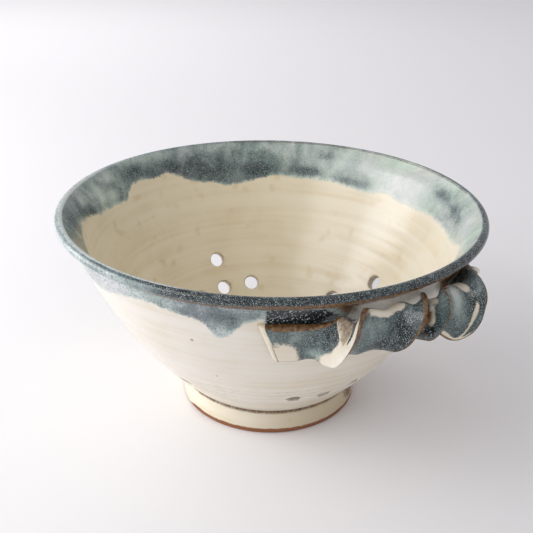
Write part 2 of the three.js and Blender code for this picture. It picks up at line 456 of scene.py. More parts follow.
@dataclass(frozen=True)
class Glaze:
    """A reduction-fired glaze: cream below, slate blue above, brown where it breaks, bare clay at the foot."""

    name: str
    cream_out: str = "ece8e0"
    # Yellower cream: the inner glaze's colour, and on the foot a darker shaded copy used as painted shade.
    cream_in_and_shade: str = "ebe1c7"
    ochre: str = "bf9c55"
    browns: tuple[tuple[float, str], ...] = ((0.3, "463324"), (0.5, "6e5034"), (0.7, "957242"))
    # Near-black of pooled glaze, also used as painted shade in the strap's groove.
    pool: str = "1e272a"
    clay: str = "8e5b3b"
    # Pale speck colour of the blue, also scattered over the dark pools as painted glints.
    fleck_and_glint: str = "c4d0d0"
    speckle: float = 0.66
    pitted: float = 0.4
    gloss: float = 0.22
    bare_rough: float = 0.75
    edge_wander: float = 4.0
    edge_crumble: float = 2.6
    relief: float = 0.22
    relief_depth: float = 0.0006
    blues: tuple[tuple[float, str], ...] = (
        (0.0, "12191b"), (0.22, "29373a"), (0.42, "566467"), (0.6, "8b9899"), (0.8, "b9c4c2"), (1.0, "d8dfdc"))
    freckles: tuple[tuple[float, float, float, float], ...] = ()

    def cream(self, sheet: NodeSheet) -> Socket:
        """Colour the cream glaze, with its throwing rings and iron spots.

        Args:
            sheet: The material's nodes.

        Returns:
            The colour.
        """
        cloud = sheet.noise(34.0, 3.0)
        rings = sheet.noise(1.0, 3.0, sheet.stretch((8.0, 8.0, 270.0)))
        # Mixing towards the yellower cream gives the inner glaze's own colour and the painted shade on shaded walls.
        base = sheet.mix(sheet.coat(Coat.INSIDE), linear(self.cream_out), linear(self.cream_in_and_shade))
        tone = sheet.plus(0.5, (cloud, 0.65), (rings, 0.75))
        shade = sheet.ramp(tone, ((0.2, "efe6d4"), (0.5, "faf8f3"), (0.8, "ffffff")))
        base = sheet.mix(1.0, base, shade, "MULTIPLY")
        inside = sheet.span(sheet.coat(Coat.INSIDE), 0.0, 1.0, 0.06, 0.3)
        spots = sheet.times(sheet.span(sheet.noise(105.0, 1.0), 0.6, 0.82), inside)
        base = sheet.mix(spots, base, linear(self.ochre))
        specks = sheet.times(sheet.span(sheet.cells(120.0), 0.075, 0.03), 0.25)
        base = sheet.mix(specks, base, linear(self.ochre))
        for angle, radius, height, size in self.freckles:
            turn = math.radians(angle)
            spot = Vector((radius * math.cos(turn), radius * math.sin(turn), height)) * MM
            mark = sheet.span(sheet.away(spot), size * MM, size * 0.35 * MM)
            base = sheet.mix(sheet.times(mark, 0.7), base, linear(self.browns[1][1]))
        return base

    def blue(self, sheet: NodeSheet, thin: Any) -> Socket:
        """Colour the blue glaze, with its runs and pale crystal specks.

        Args:
            sheet: The material's nodes.
            thin: How thin the blue lies.

        Returns:
            The colour.
        """
        cloud = sheet.noise(75.0, 4.0, bend=0.8)
        runs = sheet.noise(1.0, 4.0, sheet.stretch((150.0, 150.0, 55.0)))
        swing = sheet.plus(0.0, (cloud, 0.72), (runs, 0.46), (sheet.noise(1000.0, 2.0), 0.45))
        depth = sheet.math("ADD", thin, sheet.times(swing, sheet.span(thin, 0.6, 0.95, 1.0, 0.5)))
        colour = sheet.ramp(depth, self.blues)
        tint = sheet.ramp(sheet.noise(42.0, 2.0), ((0.35, "eff5f3"), (0.65, "f9f3f9")))
        # The same layer tints the blue, so the painted shade on the bowl reaches it faintly.
        cast = sheet.mix(sheet.coat(Coat.INSIDE), linear("fcfdfc"), linear("f9fcf1"))
        colour = sheet.mix(1.0, sheet.mix(1.0, colour, tint, "MULTIPLY"), cast, "MULTIPLY")
        pits = sheet.times(sheet.span(sheet.noise(900.0, 2.0), 0.5, 0.4), sheet.span(depth, 0.4, 0.65))
        outer = sheet.span(sheet.coat(Coat.INSIDE), 0.3, 0.0, 0.0, self.pitted)
        colour = sheet.mix(sheet.times(pits, outer), colour, linear(self.blues[1][1]))
        grain = sheet.plus(sheet.noise(2700.0, 1.0), (sheet.noise(420.0, 2.0), 0.25))
        crystals_and_glints = sheet.span(grain, 0.55, 0.67)
        cover = sheet.times(sheet.span(depth, 0.8, 0.2), self.speckle)
        return sheet.mix(sheet.times(crystals_and_glints, cover), colour, linear(self.fleck_and_glint))

    def build(self) -> bpy.types.Material:
        """Make the glaze's material.

        Returns:
            The material.
        """
        sheet = NodeSheet(self.name)
        wander = sheet.noise(150.0, 4.0)
        crumble = sheet.noise(700.0, 2.0)
        dip = sheet.plus(sheet.coat(Coat.DIP), (wander, self.edge_wander), (crumble, self.edge_crumble))
        thin = sheet.coat(Coat.THIN)
        lift = sheet.math("ADD", thin, sheet.span(dip, 3.0, 0.0, 0.0, 0.22))
        # The cream layer keeps the blue off, also where it paints the trumpet's highlight.
        bare = sheet.plus(sheet.coat(Coat.CREAM_AND_HIGHLIGHT), (wander, 0.7), (crumble, 0.35))
        cover = sheet.times(sheet.span(dip, -0.5, 1.4), sheet.span(bare, 0.68, 0.36))
        colour = sheet.mix(cover, self.cream(sheet), self.blue(sheet, lift))
        rust = sheet.span(sheet.plus(sheet.coat(Coat.RUST), (wander, 0.4), (crumble, 0.35)), 0.25, 0.85)
        colour = sheet.mix(rust, colour, sheet.ramp(sheet.noise(650.0, 3.0), self.browns))
        # The near-black layer: pooled glaze, and painted shade in the strap's groove.
        pool = sheet.span(sheet.plus(sheet.coat(Coat.POOL_AND_SHADE), (wander, 0.6)), 0.35, 0.75)
        # Painted highlights: pale glints scattered over the near-black layer.
        crystals_and_glints = sheet.span(sheet.noise(1050.0, 2.0), 0.56, 0.65)
        dark = sheet.mix(sheet.times(crystals_and_glints, 0.7), linear(self.pool), linear(self.fleck_and_glint))
        colour = sheet.mix(pool, colour, dark)
        clay = sheet.span(sheet.plus(sheet.coat(Coat.CLAY), (wander, 0.35), (crumble, 0.15)), 0.4, 0.6)
        colour = sheet.mix(clay, colour, linear(self.clay))
        rough = sheet.plus(sheet.span(clay, 0.0, 1.0, self.gloss, self.bare_rough), (wander, 0.12))
        height = sheet.plus(sheet.times(cover, 0.6), (wander, 0.5), (crumble, 0.25))
        bump = sheet.add("ShaderNodeBump", {
            "Height": height, "Strength": self.relief, "Distance": self.relief_depth})
        shader = sheet.add("ShaderNodeBsdfPrincipled", {
            "Base Color": colour, "Roughness": rough, "Normal": bump.outputs["Normal"]})
        output = sheet.add("ShaderNodeOutputMaterial")
        sheet.tree.links.new(shader.outputs["BSDF"], output.inputs["Surface"])
        return sheet.material


class Piece:
    """A glazed piece of the colander: a mesh, its painted layers and its finish."""

    name: str = ""
    node: str = ""
    slot: str = ""
    crease: float = math.radians(38.0)

    def mesh(self) -> bpy.types.Mesh:
        """Model the piece."""
        raise NotImplementedError

    def paint(self, spots: Array) -> dict[Coat, Array]:
        """Paint the layers that aren't empty, one value for each vertex, on vertices in millimetres."""
        raise NotImplementedError

    def dress(self, glaze: bpy.types.Material) -> bpy.types.Object:
        """Build the piece, paint it and set it in the frame.

        Args:
            glaze: The piece's finish.

        Returns:
            The finished object.
        """
        mesh = self.mesh()
        mesh.name = self.name
        mesh.shade_smooth()
        mesh.set_sharp_from_angle(angle=self.crease)
        spots = np.empty(len(mesh.vertices) * 3)
        mesh.vertices.foreach_get("co", spots)
        coats = self.paint(spots.reshape(-1, 3) / MM)
        empty = np.zeros(len(mesh.vertices))
        for layer in Coat:
            mesh.attributes.new(layer.value, "FLOAT", "POINT").data.foreach_set(
                "value", np.ascontiguousarray(coats.get(layer, empty), dtype=np.float32))
        mesh.materials.append(glaze)
        piece = shown(self.name, mesh)
        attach(piece, "root")
        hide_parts(self.node)
        LOG.info("%s: %d faces", self.name, len(mesh.polygons))
        return piece


def turned(profile: Profile, steps: int, name: str) -> bpy.types.Mesh:
    """Spin a profile about the bowl's axis.

    Args:
        profile: Radius and height of each point, in millimetres, along a closed or axis-to-axis line.
        steps: Faces around the axis.
        name: The mesh's name.

    Returns:
        The closed mesh.
    """
    shell = bmesh.new()
    line = [shell.verts.new((radius * MM, 0.0, height * MM)) for radius, height in profile]
    edges = [shell.edges.new(pair) for pair in zip(line, line[1:])]
    bmesh.ops.spin(
        shell, geom=line + edges, cent=(0, 0, 0), axis=(0, 0, 1), dvec=(0, 0, 0), angle=math.tau,
        steps=steps, use_merge=True, use_duplicate=False)
    bmesh.ops.remove_doubles(shell, verts=shell.verts, dist=1e-6)
    bmesh.ops.recalc_face_normals(shell, faces=shell.faces)
    return meshed(shell, name)


@dataclass
class HoleRow:
    """A row of three drain holes, with or without one more above its middle."""

    at: float
    pitch: float
    has_upper: bool
    rise: tuple[float, float, float] = (0.0, 0.0, 0.0)
    radius: float = 4.35
    flat: float = 1.0

    def places(self, low: float, high: float) -> list[tuple[float, float]]:
        """List the row's holes as degrees about the axis and height on the inner wall."""
        row = [(self.at + turn * self.pitch, low + rise) for turn, rise in zip((-1, 0, 1), self.rise)]
        return row + ([(self.at, high)] if self.has_upper else [])


@dataclass
class Bowl(Piece):
    """The thrown bowl, with its throwing rings, trim lines and drain holes. The pool fades in over its ranges."""

    name: str = "bowl_body"
    node: str = "bowl"
    slot: str = "bowl_glaze"
    floor_height: float = 18.0
    under_height: float = 11.0
    floor_flat: float = 24.0
    floor_round: float = 30.0
    seat_inside: float = 40.6
    floor_hole: float = 4.35
    lip_radius: float = 1.0
    low_row: float = 36.0
    high_row: float = 50.4
    floor_ring: float = 22.0
    floor_count: int = 6
    ring_depth: float = 0.05
    ring_waves: Rail = ((0.83, 0.0, 1.0), (0.51, 1.0, 1.0), (1.57, 2.0, 0.6))
    trim_depth: float = 0.32
    trim_width: float = 0.42
    trim_heights: tuple[float, ...] = (34.6, 39.2, 43.1)
    # Yellowing of the inner cream by degrees: the inner glaze's own colour, raised on the shaded left of the inside as
    # painted shade.
    inner_warmth_and_shade: Track = ((20, 0.5), (60, 0.45), (100, 0.5), (135, 0.85), (170, 1.0), (230, 1.0), (-60, 0.95), (-20, 0.8))
    ledge: Patch = Patch(-14.5, 5.0, 108.5, 5.0, 0.85, lean=-0.9)
    nook: Patch = Patch(20.0, 7.0, 107.5, 7.0, 1.15)
    blush: Patch = Patch(-1.0, 12.0, 104.0, 7.0, 0.46)
    pool_left: Point = (-34.2, -31.4)
    pool_right: Point = (-8.5, -12.0)
    pool_foot: Point = (97.0, 99.0)
    pool_brim: float = 110.8
    pool_drop: float = 10.0
    pool_slope: Point = (-22.0, -10.0)
    turn_steps: int = 288
    outer_stride: int = 6
    inner_stride: int = 5
    rows: tuple[HoleRow, ...] = (
        HoleRow(-6.4, 14.4, False, (1.6, 0.8, 4.2), 3.7, 0.72), HoleRow(87.5, 20.0, True, (0.0, 0.0, -2.6)),
        HoleRow(176.2, 17.0, True, (0.0, -0.8, -2.4)), HoleRow(267.5, 20.0, False))

    def profile(self) -> Profile:
        """Draw the bowl's section from the underside, up the outer wall and down the inner one.

        Returns:
            Radius and height of each point, in millimetres, from axis to axis.
        """
        outer = WALL.points(0.0)
        fine = (outer[:, 1] > self.trim_heights[0] - 2) & (outer[:, 1] < self.trim_heights[-1] + 2)
        index = np.arange(len(outer))
        outer = outer[(index % self.outer_stride == 0) | fine | (index == len(outer) - 1)]
        notch = sum(np.exp(-((outer[:, 1] - height) / self.trim_width) ** 2) for height in self.trim_heights)
        outer = outer - np.column_stack([notch * self.trim_depth, np.zeros(len(outer))])
        flare = WALL.flare()
        inner = WALL.points(-WALL.thickness)
        inner = inner[(inner[:, 1] > self.floor_round) & (inner[:, 1] < flare[0, 1] - 0.5)][::self.inner_stride]
        rings = sum(weight * np.sin(inner[:, 1] * pace + phase) for pace, phase, weight in self.ring_waves)
        inner = inner + np.column_stack([rings * self.ring_depth, np.zeros(len(inner))])
        neck = (WALL.flare_radius(WALL.top_height), WALL.top_height)
        inner = np.concatenate([inner, flare[flare[:, 1] < WALL.top_height - 0.1], [neck]])
        start = tuple(inner[0])
        lean = (inner[1, 1] - inner[0, 1]) / (inner[1, 0] - inner[0, 0])
        corner = (start[0] - (start[1] - self.floor_height) / lean, self.floor_height)
        floor = bow(start, corner, (self.floor_flat, self.floor_height), 14)
        under = bow((0.0, self.under_height), (self.seat_inside / 2, self.under_height),
                    (self.seat_inside, WALL.foot_height), 8)
        return (under + [tuple(row) for row in outer] + [tuple(row) for row in inner[::-1]]
                + floor[1:] + [(self.floor_flat / 2, self.floor_height), (0.0, self.floor_height)])

    def punches(self) -> list[tuple[Matrix, float]]:
        """Place a punch through the middle of the wall or floor at each drain hole.

        Returns:
            Transforms that carry a punch along +Z at the origin into its hole, in metres, each with its radius.
        """
        places: list[tuple[Matrix, float]] = []
        curve = WALL.points(-WALL.thickness)
        outer = WALL.points(0.0)
        for row in self.rows:
            for turn, height in row.places(self.low_row, self.high_row):
                index = int(np.argmin(abs(curve[:, 1] - height)))
                middle = (curve[index] + outer[index]) / 2 * MM
                normal = (outer[index] - curve[index]) / WALL.thickness
                tip = Matrix.Rotation(math.atan2(normal[0], normal[1]), 4, "Y")
                around_axis = Matrix.Rotation(math.radians(turn), 4, "Z")
                seat = around_axis @ Matrix.Translation((middle[0], 0.0, middle[1])) @ tip @ Matrix.Scale(
                    row.flat, 4, Vector((1, 0, 0)))
                places.append((seat, row.radius))
        depth = (self.floor_height + self.under_height) / 2 * MM
        for index in range(self.floor_count + 1):
            reach = self.floor_ring * MM if index else 0.0
            turn = Matrix.Rotation(index * math.tau / self.floor_count, 4, "Z")
            places.append((turn @ Matrix.Translation((reach, 0.0, depth)), self.floor_hole))
        return places

    def punch(self) -> bpy.types.Object:
        """Model all the punches as one cutter, each flared to leave a softened lip.

        Returns:
            The cutter.
        """
        cutter = bmesh.new()
        half, far = WALL.thickness / 2, WALL.thickness * 1.6
        for place, radius in self.punches():
            flare = radius + self.lip_radius
            lip = arc((flare, half - self.lip_radius), self.lip_radius, 180.0, 90.0, 4)
            upper = lip + [(flare, far), (0.0, far)]
            tool = turned([(reach, -height) for reach, height in reversed(upper)] + upper, 36, "punch")
            tool.transform(place)
            cutter.from_mesh(tool)
            bpy.data.meshes.remove(tool)
        return shown("punches", meshed(cutter, "punches"))

    def mesh(self) -> bpy.types.Mesh:
        """Turn the bowl and punch its drain holes.

        Returns:
            The pierced mesh.
        """
        blank = shown("blank", turned(self.profile(), self.turn_steps, "blank"))
        tool = self.punch()
        cut = blank.modifiers.new("holes", "BOOLEAN")
        cut.object, cut.operation, cut.solver = tool, "DIFFERENCE", "EXACT"
        graph = bpy.context.evaluated_depsgraph_get()
        pierced = bpy.data.meshes.new_from_object(blank.evaluated_get(graph))
        for used in (blank, tool):
            spare = used.data
            bpy.data.objects.remove(used)
            bpy.data.meshes.remove(spare)
        return pierced

    def lips(self, spots: Array, inside: Array) -> Array:
        """Brown the bores of the drain holes and their inner lips.

        Args:
            spots: Rows of x, y and z, in millimetres.
            inside: 1 on the inner face and 0 elsewhere.

        Returns:
            The brown's share.
        """
        brown = np.zeros(len(spots))
        for place, radius in self.punches():
            offset = spots - np.array(place.to_translation()) / MM
            axis = np.array(place.to_3x3() @ Vector((0, 0, 1)))
            along = offset @ axis
            near = np.linalg.norm(offset - along[:, None] * axis, axis=1)
            here = ease(near, radius + 0.2 + 1.1 * inside, radius) * (abs(along) < WALL.thickness)
            brown = np.maximum(brown, here)
        return 0.56 * brown

    def paint(self, spots: Array) -> dict[Coat, Array]:
        """Paint the dip, the crease under the rim, the pool over the strap and the holes' lips, and mix in the yellower
        cream: the inner glaze's own colour and painted shade on the shaded walls.

        Args:
            spots: The vertices' places, in millimetres.

        Returns:
            The painted layers.
        """
        radius, angle, height = polar(spots)
        middle = WALL.radius(height, -WALL.thickness / 2)
        inside = ((radius < middle) & (height > self.floor_height - 1)).astype(float)
        faces = (MAP.read(side, angle, height) for side in (Side.INNER, Side.OUTER))
        dip, thin = (np.where(inside > 0, inner, outer) for inner, outer in zip(*faces))
        hand = (angle + 90.0) % 180.0 - 90.0
        outside = 1 - inside
        crease = outside * ease(height, WALL.top_height - 1.8, WALL.top_height - 0.6)
        groove = 0.8 * outside * ease(height, WALL.foot_height + 3.4, WALL.foot_height + 0.2)
        trims = sum(np.exp(-((height - trim) / 0.5) ** 2) for trim in self.trim_heights)
        brim = self.pool_brim - self.pool_drop * ease(hand, *self.pool_slope)
        pool = (outside * ease(hand, *self.pool_left) * ease(hand, *self.pool_right)
                * ease(height, *self.pool_foot) * ease(height, brim, brim - 1.8))
        ledge, nook, blush = (
            outside * patch.near(hand, height) for patch in (self.ledge, self.nook, self.blush))
        rust = np.maximum.reduce([
            self.lips(spots, inside), crease, groove, 0.42 * outside * trims, ledge, nook, blush])
        # Yellower cream inside, raised where the inside lies in shade, and on the outer wall's shaded right side:
        # painted shade.
        warm_tone_and_shade = inside * around(self.inner_warmth_and_shade, angle) + 0.25 * outside * ease(angle, -60.0, 0.0) * ease(angle, 150.0, 90.0)
        return {Coat.DIP: dip, Coat.THIN: thin, Coat.RUST: rust, Coat.POOL_AND_SHADE: pool, Coat.INSIDE: warm_tone_and_shade}


@dataclass
class RimBead(Piece):
    """The rolled rim that overhangs the wall above a crease. Its lines lie inwards and up from the roll's centre."""

    name: str = "rim_roll"
    node: str = "rim_bead"
    slot: str = "rim_glaze"
    roll_centre: Point = (112.5, 114.7)
    roll_radius: float = 2.5
    turn_steps: int = 320
    thin: Track = (
        (-117, 0.96), (-106, 0.92), (-94, 0.84), (-85, 0.7), (-76, 0.66), (-69, 0.72), (-61, 0.56), (-53, 0.26),
        (-46, 0.08), (-37, 0.14), (-20, 0.1), (10, 0.16), (45, 0.2), (60, 0.24), (100, 0.55), (150, 0.46), (200, 0.6),
        (220, 0.86), (235, 0.98))
    # Pale line along the roll's top, strongest on the lit left: partly thin glaze at the edge, partly a painted
    # highlight.
    lace_and_highlight: Track = ((-120, 0.5), (-90, 0.9), (-60, 1.1), (-48, 0.6), (-40, 0.0), (200, 0.0), (225, 0.3))
    crown: Track = (
        (-125, 0.05), (-105, 0.16), (-85, 0.26), (-62, 0.38), (-50, 0.15), (-40, 0.0), (200, 0.0), (225, 0.05))
    brown: Track = ((-62, 0.0), (-44, 0.3), (-28, 0.85), (18, 0.95), (30, 0.7), (60, 0.4), (150, 0.5), (220, 0.2))
    lip_brown: Track = ((58, 0.0), (70, 0.8), (140, 0.8), (175, 0.5), (200, 0.0), (-60, 0.0))
    lip_line: Point = (1.5, 1.9)
    lace_and_highlight_line: Point = (0.75, 2.4)
    crease_band: Point = (113.4, 112.2)
    crown_band: Point = (115.9, 116.8)
    brown_band: Point = (115.3, 113.8)

    def mesh(self) -> bpy.types.Mesh:
        """Turn the roll, its neck and its inner flare.

        Returns:
            The closed mesh.
        """
        neck = (float(WALL.flare_radius(WALL.top_height)), WALL.top_height)
        profile = [neck, (WALL.top_radius, WALL.top_height)]
        profile += arc(self.roll_centre, self.roll_radius, -135.0, 135.0, 24)
        profile += [tuple(row) for row in WALL.flare()[::-1][1:] if row[1] > WALL.top_height + 0.1]
        profile.append(neck)
        return turned(profile, self.turn_steps, self.name)

    def paint(self, spots: Array) -> dict[Coat, Array]:
        """Paint the roll: dark crown, a pale line along it that is partly thin glaze and partly a painted highlight,
        brown at its inner lip, its lower half and the crease.

        Args:
            spots: The vertices' places, in millimetres.

        Returns:
            The painted layers.
        """
        radius, angle, height = polar(spots)
        inside = ease(radius - WALL.flare_radius(height), 1.4, 0.1)
        thin = inside * MAP.read(Side.INNER, angle, height)[1] + (1 - inside) * around(self.thin, angle)
        centre, level = self.roll_centre
        crease = ease(radius, centre + 0.9, centre - 0.6) * ease(height, *self.crease_band)
        lip, lace_and_highlight = (
            np.hypot(radius - centre + inwards, height - level - up)
            for inwards, up in (self.lip_line, self.lace_and_highlight_line))
        thin = thin - around(self.crown, angle) * ease(height, *self.crown_band) * (1 - inside)
        # Painted highlight: the pale line along the roll, partly thin glaze.
        thin = thin + around(self.lace_and_highlight, angle) * ease(lace_and_highlight, 1.4, 0.8)
        far = ease(around(self.lip_brown, angle), 0.0, 1.0)
        line = ease(height, *self.brown_band) * (radius > centre) * around(self.brown, angle)
        rust = np.maximum.reduce([crease * (1 - inside), line, 0.7 * far * ease(lip, 1.2, 0.0)])
        return {Coat.DIP: np.full(len(spots), 12.0), Coat.THIN: thin, Coat.RUST: rust, Coat.INSIDE: inside}


@dataclass
class FootRing(Piece):
    """The turned foot ring, glazed down to a band of bare clay."""

    name: str = "foot_turned"
    node: str = "foot_ring"
    slot: str = "foot_glaze"
    base_radius: float = 50.8
    base_width: float = 6.8
    seat_width: float = 9.0
    edge_radius: float = 1.2
    # Height of the bare clay band by degrees, drawn thinner on the brightly lit left: a painted highlight.
    bare_height_and_glare: Track = ((-125, 0.7), (-104, 0.8), (-82, 1.6), (180, 1.6), (212, 0.8))
    chip_at: float = -70.0
    chip_reach: float = 5.0
    chip_rise: float = 2.4
    streak_at: float = 36.0
    streak_reach: float = 10.0
    turn_steps: int = 240

    def mesh(self) -> bpy.types.Mesh:
        """Turn the ring, drawn in at its top to a groove.

        Returns:
            The closed mesh.
        """
        inside_base = self.base_radius - self.base_width
        inside_top = WALL.foot_radius - self.seat_width
        edge = self.edge_radius
        groove = (WALL.foot_radius - 0.1, WALL.foot_height)
        profile = [(inside_top, WALL.foot_height), (inside_base, edge)]
        profile += arc((inside_base + edge, edge), edge, 180.0, 270.0, 5)[1:]
        profile += arc((self.base_radius - edge, edge), edge, -90.0, 0.0, 5)
        profile += [(self.base_radius + 0.05, 5.0), (self.base_radius - 0.1, 8.0)]
        profile += bow((self.base_radius - 0.25, 9.6), (self.base_radius - 0.5, 12.8), groove, 8)
        profile.append((inside_top, WALL.foot_height))
        return turned(profile, self.turn_steps, self.name)

    def paint(self, spots: Array) -> dict[Coat, Array]:
        """Paint the cream glaze with painted shade on its right side, the groove's brown line, a brown streak and the
        bare clay, thinner on the lit left as a painted highlight.

        Args:
            spots: The vertices' places, in millimetres.

        Returns:
            The painted layers.
        """
        radius, angle, height = polar(spots)
        chip = self.chip_rise * np.exp(-((angle - self.chip_at) / self.chip_reach) ** 2)
        # The bare band runs thinner on the lit left: painted highlight.
        bare = around(self.bare_height_and_glare, angle) + chip
        clay = np.maximum(ease(height, bare + 0.5, bare - 0.5), ease(radius, 45.5, 44.5))
        groove = 0.72 * ease(height, WALL.foot_height - 2.8, WALL.foot_height - 0.4)
        edge = 0.45 * ease(height, bare + 1.6, bare + 0.4)
        streak = 1.05 * np.exp(-((angle - self.streak_at) / self.streak_reach) ** 2) * ease(height, 1.0, 9.0)
        rust = np.maximum.reduce([groove, edge, streak])
        # Painted shade: the cream turns darker and yellower towards the foot's shaded right side.
        warm_tone_and_shade = ease(angle, -75.0, 10.0) * ease(angle, 170.0, 120.0)
        return {Coat.DIP: np.full(len(spots), -50.0), Coat.RUST: rust, Coat.CLAY: clay, Coat.INSIDE: warm_tone_and_shade}


@dataclass
class StrapHandle(Piece):
    """A pulled strap that makes four half turns under the rim. Each edge is a track of degrees, radius and height."""

    name: str = "handle_strap_front"
    node: str = "handle_front"
    slot: str = "handle_glaze"
    turn: float = 0.0
    thickness: float = 4.6
    groove: float = 2.5
    start: float = -33.1
    end: float = 31.6
    slant: float = 1.8
    end_round: float = 1.9
    along_steps: int = 300
    around_steps: int = 44
    lead_edge: Rail = (
        (-36, 95.4, 76.6), (-29.5, 97.2, 77.2), (-27, 98.2, 77.8), (-24.5, 100, 79.8), (-22.6, 102.6, 82.4),
        (-21.2, 106.2, 83.8), (-20, 110.2, 83), (-18.6, 114.8, 83.4), (-17.2, 121, 89.5), (-15.7, 126, 100),
        (-14.3, 124.5, 107.3), (-13, 121, 110), (-11.4, 118, 110.2), (-9, 116.2, 109), (-6, 115.5, 107.5),
        (-4, 113, 107.5), (-2.3, 111, 107.5), (-1, 109.5, 106), (0.5, 109.5, 97), (2, 114, 89.5), (3.5, 120, 89.5),
        (5, 125, 95), (6.3, 127, 102.5), (7.5, 124, 108), (9.5, 117.5, 110), (11.5, 115, 109), (13.5, 113, 108),
        (15.5, 110.5, 106.5), (17, 108.5, 104.5), (18.5, 107.5, 101.5), (20, 107, 97), (22.5, 107, 91), (27, 103, 86),
        (33, 100, 84))
    trail_edge: Rail = (
        (-36, 107.4, 100.4), (-26, 108, 101.4), (-21, 108.4, 102), (-16.4, 108.5, 102.5), (-14.6, 108.3, 101.5),
        (-13.4, 107.5, 92), (-12.6, 107.5, 83.4), (-11.5, 110, 84.3), (-10.3, 113, 87), (-8.5, 115.5, 88.8),
        (-7, 117.5, 89), (-5, 120, 88.4), (-3.5, 123.3, 91), (-2.2, 126.2, 97), (-1.2, 127.2, 103), (0.1, 125, 109),
        (1.8, 119.5, 111.2), (3.4, 116, 110), (5, 112, 108), (6.3, 109, 105), (8, 108.5, 101), (9.5, 110.5, 93),
        (11, 115, 85.5), (13, 121, 82), (15.5, 126.5, 85.5), (17, 129.5, 94), (18.2, 129, 102), (19.7, 125, 108),
        (22, 118.5, 109.5), (24, 114.2, 108.4), (26, 116, 107.6), (27.6, 115.8, 106.6), (29.2, 111.5, 105),
        (33, 109, 104))
    dents: tuple[Patch, ...] = patches(
        (4.6, 5, 0.05, 0.28, 1.6, 1, -0.2), (-26, 3, 0.15, 0.4, 0.5, 1), (22, 1.2, -0.95, 0.3, -1.6),
        (24.5, 1, -0.9, 0.25, -1.3), (23.2, 0.8, -0.6, 0.2, 1, 1), (-12.2, 1, 0.9, 0.25, -0.9))
    dabs: Sequence[tuple[Coat, tuple[Patch, ...]]] = (
        (Coat.CREAM_AND_HIGHLIGHT, patches(
            (-29, 4.2, 0.68, 0.85, 1.4, 1), (-18, 2.4, 0.82, 0.42, 1.35, 1), (-16.9, 0.9, 0.5, 0.26, 1.2, 1),
            (-15.6, 1.8, 0.5, 0.1, -1.6, 1, -0.1), (-15.7, 2.6, 0.75, 0.12, 1.3, 1, -0.03),
            (-6.3, 5.4, 1.05, 0.28, 1.3, -1), (-2.6, 1.6, 0.75, 0.2, 1.2, -1, -0.2),
            (5.6, 2.8, -0.12, 0.24, 1.15, 1, -0.19), (5.6, 2.6, 0.2, 0.1, 1.2, 1, -0.115),
            # The first patch here is a painted highlight along the trumpet's upper edge.
            (17.9, 0.95, 0.36, 0.55, 1.2, -1), (26, 1.3, -1, 0.25, 0.9), (14.7, 1.6, -0.73, 0.06, 0.95, -1, 0.12),
            (16.5, 1.1, -0.57, 0.11, 0.85, -1), (14, 2.6, -0.93, 0.05, 0.8, -1), (11.4, 0.9, -0.92, 0.16, 1.1, -1))),
        (Coat.RUST, patches(
            (-27.5, 3.5, 1, 0.1, 0.6, 1), (-18.4, 2.4, 0.95, 0.2, -1, 1), (-15.7, 2.6, 0.72, 0.12, -0.9, 1, -0.03),
            (-14.4, 2.6, 0.98, 0.14, 1, 1), (-13.8, 1, 0.2, 1, 0.95, -1), (-6.4, 5, 1, 0.35, -1.2),
            (-1, 3, -0.94, 0.1, 0.8, -1), (5.4, 2.8, -0.18, 0.26, 0.74, 1, -0.19),
            (5.6, 2.6, 0.22, 0.1, -0.6, 1, -0.115), (3.4, 1.4, 0.3, 0.5, 1.1, 1, -0.1),
            (7, 3, 0.95, 0.1, 0.7, 1, -0.05), (26.4, 1.8, -1, 0.3, -0.85), (18, 1.9, 0.85, 0.35, 0.5, -1))),
        (Coat.THIN, patches(
            (-28.3, 3.4, -0.6, 0.4, 0.1, 1), (-23.4, 2.6, -0.1, 0.4, 0.06, 1), (-21.8, 1.8, 0.62, 0.3, 0.26, 1),
            (-18.1, 1.9, -0.4, 0.6, -0.36, 1), (-15.6, 2, 0.52, 0.09, -0.3, 1, -0.1),
            (-10.4, 2.8, 0.25, 0.6, 0.24, -1), (-9, 2.6, -0.6, 0.35, -0.26, -1), (-3.6, 2.2, -0.3, 0.9, -0.33, -1),
            (7, 1.8, 0.5, 0.35, 0.2, 1), (5, 1.2, 0.6, 0.3, -0.05, 1), (14.6, 2.4, 0.62, 0.42, 0.75, -1),
            (13.4, 2, 0, 0.3, 0.12, -1), (26.8, 1.8, -0.95, 0.35, 0.5), (16.6, 1.4, -0.35, 0.35, -0.24, -1),
            (13, 1.6, -0.75, 0.2, -0.2, -1))),
        (Coat.POOL_AND_SHADE, patches(
            # The second patch here darkens the bottom of the groove: painted shade in the recess.
            (5.4, 2.6, -0.52, 0.16, 0.85, 1, -0.19), (3.7, 1.1, 0.55, 0.35, 0.85, 1))),
        (Coat.INSIDE, patches((-16.6, 2.4, 0.9, 0.3, -0.85, 1))))
    tracks: dict[str, Array] = field(default_factory=dict)

